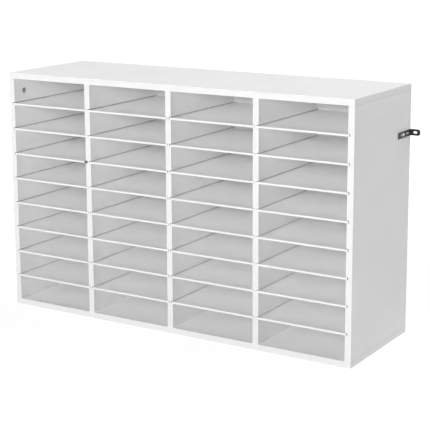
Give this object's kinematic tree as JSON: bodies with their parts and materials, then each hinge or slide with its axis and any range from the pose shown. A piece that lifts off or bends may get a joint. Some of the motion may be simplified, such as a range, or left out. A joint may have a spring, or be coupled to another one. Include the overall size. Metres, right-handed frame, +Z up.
{
  "type": "pigeonhole mail sorter",
  "caption": "Free-standing white pigeonhole sorter: loose shelves slide in grooved uprights before inset back boards; slotted steel angles tie it to a wall.",
  "frame": {"origin": "middle of the base, on the surface the sorter stands on", "axes": "+X to the right along the width, +Y from the open front to the back, +Z up"},
  "size_m": [1.02, 0.305, 0.61],
  "materials": {
    "carcass_board": "white melamine-faced chipboard, satin, white edging",
    "shelf_board": "white lacquered fibreboard with a bright front edge",
    "back_board": "thin fibreboard, white lacquer in front and bare behind",
    "cam_zinc": "dull die-cast zinc",
    "plated_steel": "bright zinc plate",
    "beech": "raw beech",
    "black_steel": "black powder coat, semi-matt"
  },
  "bodies": {
    "carcass": {"top_panel": "carcass_board", "bottom_panel": "carcass_board", "left_side_panel": "carcass_board", "right_side_panel": "carcass_board", "divider_1": "carcass_board", "divider_2": "carcass_board", "divider_3": "carcass_board", "back_board_1": "back_board", "back_board_2": "back_board", "back_board_3": "back_board", "back_board_4": "back_board", "cam_locks": "cam_zinc", "cam_bolts": "plated_steel", "dowels": "beech", "long_screws": "plated_steel", "angle_screws": "plated_steel", "wall_angle_right": "black_steel", "wall_angle_left": "black_steel"},
    "shelf_c1_r1": {"shelf_c1_r1": "shelf_board"},
    "shelf_c1_r2": {"shelf_c1_r2": "shelf_board"},
    "shelf_c1_r3": {"shelf_c1_r3": "shelf_board"},
    "shelf_c1_r4": {"shelf_c1_r4": "shelf_board"},
    "shelf_c1_r5": {"shelf_c1_r5": "shelf_board"},
    "shelf_c1_r6": {"shelf_c1_r6": "shelf_board"},
    "shelf_c1_r7": {"shelf_c1_r7": "shelf_board"},
    "shelf_c1_r8": {"shelf_c1_r8": "shelf_board"},
    "shelf_c2_r1": {"shelf_c2_r1": "shelf_board"},
    "shelf_c2_r2": {"shelf_c2_r2": "shelf_board"},
    "shelf_c2_r3": {"shelf_c2_r3": "shelf_board"},
    "shelf_c2_r4": {"shelf_c2_r4": "shelf_board"},
    "shelf_c2_r5": {"shelf_c2_r5": "shelf_board"},
    "shelf_c2_r6": {"shelf_c2_r6": "shelf_board"},
    "shelf_c2_r7": {"shelf_c2_r7": "shelf_board"},
    "shelf_c2_r8": {"shelf_c2_r8": "shelf_board"},
    "shelf_c3_r1": {"shelf_c3_r1": "shelf_board"},
    "shelf_c3_r2": {"shelf_c3_r2": "shelf_board"},
    "shelf_c3_r3": {"shelf_c3_r3": "shelf_board"},
    "shelf_c3_r4": {"shelf_c3_r4": "shelf_board"},
    "shelf_c3_r5": {"shelf_c3_r5": "shelf_board"},
    "shelf_c3_r6": {"shelf_c3_r6": "shelf_board"},
    "shelf_c3_r7": {"shelf_c3_r7": "shelf_board"},
    "shelf_c3_r8": {"shelf_c3_r8": "shelf_board"},
    "shelf_c4_r1": {"shelf_c4_r1": "shelf_board"},
    "shelf_c4_r2": {"shelf_c4_r2": "shelf_board"},
    "shelf_c4_r3": {"shelf_c4_r3": "shelf_board"},
    "shelf_c4_r4": {"shelf_c4_r4": "shelf_board"},
    "shelf_c4_r5": {"shelf_c4_r5": "shelf_board"},
    "shelf_c4_r6": {"shelf_c4_r6": "shelf_board"},
    "shelf_c4_r7": {"shelf_c4_r7": "shelf_board"},
    "shelf_c4_r8": {"shelf_c4_r8": "shelf_board"}
  },
  "joints": [
    {"name": "shelf_c1_r1_slide", "type": "slide", "parent": "carcass", "child": "shelf_c1_r1", "axis": [0, -1, 0], "range_m": [0, 0.3]},
    {"name": "shelf_c1_r2_slide", "type": "slide", "parent": "carcass", "child": "shelf_c1_r2", "axis": [0, -1, 0], "range_m": [0, 0.3]},
    {"name": "shelf_c1_r3_slide", "type": "slide", "parent": "carcass", "child": "shelf_c1_r3", "axis": [0, -1, 0], "range_m": [0, 0.3]},
    {"name": "shelf_c1_r4_slide", "type": "slide", "parent": "carcass", "child": "shelf_c1_r4", "axis": [0, -1, 0], "range_m": [0, 0.3]},
    {"name": "shelf_c1_r5_slide", "type": "slide", "parent": "carcass", "child": "shelf_c1_r5", "axis": [0, -1, 0], "range_m": [0, 0.3]},
    {"name": "shelf_c1_r6_slide", "type": "slide", "parent": "carcass", "child": "shelf_c1_r6", "axis": [0, -1, 0], "range_m": [0, 0.3]},
    {"name": "shelf_c1_r7_slide", "type": "slide", "parent": "carcass", "child": "shelf_c1_r7", "axis": [0, -1, 0], "range_m": [0, 0.3]},
    {"name": "shelf_c1_r8_slide", "type": "slide", "parent": "carcass", "child": "shelf_c1_r8", "axis": [0, -1, 0], "range_m": [0, 0.3]},
    {"name": "shelf_c2_r1_slide", "type": "slide", "parent": "carcass", "child": "shelf_c2_r1", "axis": [0, -1, 0], "range_m": [0, 0.3]},
    {"name": "shelf_c2_r2_slide", "type": "slide", "parent": "carcass", "child": "shelf_c2_r2", "axis": [0, -1, 0], "range_m": [0, 0.3]},
    {"name": "shelf_c2_r3_slide", "type": "slide", "parent": "carcass", "child": "shelf_c2_r3", "axis": [0, -1, 0], "range_m": [0, 0.3]},
    {"name": "shelf_c2_r4_slide", "type": "slide", "parent": "carcass", "child": "shelf_c2_r4", "axis": [0, -1, 0], "range_m": [0, 0.3]},
    {"name": "shelf_c2_r5_slide", "type": "slide", "parent": "carcass", "child": "shelf_c2_r5", "axis": [0, -1, 0], "range_m": [0, 0.3]},
    {"name": "shelf_c2_r6_slide", "type": "slide", "parent": "carcass", "child": "shelf_c2_r6", "axis": [0, -1, 0], "range_m": [0, 0.3]},
    {"name": "shelf_c2_r7_slide", "type": "slide", "parent": "carcass", "child": "shelf_c2_r7", "axis": [0, -1, 0], "range_m": [0, 0.3]},
    {"name": "shelf_c2_r8_slide", "type": "slide", "parent": "carcass", "child": "shelf_c2_r8", "axis": [0, -1, 0], "range_m": [0, 0.3]},
    {"name": "shelf_c3_r1_slide", "type": "slide", "parent": "carcass", "child": "shelf_c3_r1", "axis": [0, -1, 0], "range_m": [0, 0.3]},
    {"name": "shelf_c3_r2_slide", "type": "slide", "parent": "carcass", "child": "shelf_c3_r2", "axis": [0, -1, 0], "range_m": [0, 0.3]},
    {"name": "shelf_c3_r3_slide", "type": "slide", "parent": "carcass", "child": "shelf_c3_r3", "axis": [0, -1, 0], "range_m": [0, 0.3]},
    {"name": "shelf_c3_r4_slide", "type": "slide", "parent": "carcass", "child": "shelf_c3_r4", "axis": [0, -1, 0], "range_m": [0, 0.3]},
    {"name": "shelf_c3_r5_slide", "type": "slide", "parent": "carcass", "child": "shelf_c3_r5", "axis": [0, -1, 0], "range_m": [0, 0.3]},
    {"name": "shelf_c3_r6_slide", "type": "slide", "parent": "carcass", "child": "shelf_c3_r6", "axis": [0, -1, 0], "range_m": [0, 0.3]},
    {"name": "shelf_c3_r7_slide", "type": "slide", "parent": "carcass", "child": "shelf_c3_r7", "axis": [0, -1, 0], "range_m": [0, 0.3]},
    {"name": "shelf_c3_r8_slide", "type": "slide", "parent": "carcass", "child": "shelf_c3_r8", "axis": [0, -1, 0], "range_m": [0, 0.3]},
    {"name": "shelf_c4_r1_slide", "type": "slide", "parent": "carcass", "child": "shelf_c4_r1", "axis": [0, -1, 0], "range_m": [0, 0.3]},
    {"name": "shelf_c4_r2_slide", "type": "slide", "parent": "carcass", "child": "shelf_c4_r2", "axis": [0, -1, 0], "range_m": [0, 0.3]},
    {"name": "shelf_c4_r3_slide", "type": "slide", "parent": "carcass", "child": "shelf_c4_r3", "axis": [0, -1, 0], "range_m": [0, 0.3]},
    {"name": "shelf_c4_r4_slide", "type": "slide", "parent": "carcass", "child": "shelf_c4_r4", "axis": [0, -1, 0], "range_m": [0, 0.3]},
    {"name": "shelf_c4_r5_slide", "type": "slide", "parent": "carcass", "child": "shelf_c4_r5", "axis": [0, -1, 0], "range_m": [0, 0.3]},
    {"name": "shelf_c4_r6_slide", "type": "slide", "parent": "carcass", "child": "shelf_c4_r6", "axis": [0, -1, 0], "range_m": [0, 0.3]},
    {"name": "shelf_c4_r7_slide", "type": "slide", "parent": "carcass", "child": "shelf_c4_r7", "axis": [0, -1, 0], "range_m": [0, 0.3]},
    {"name": "shelf_c4_r8_slide", "type": "slide", "parent": "carcass", "child": "shelf_c4_r8", "axis": [0, -1, 0], "range_m": [0, 0.3]}
  ]
}
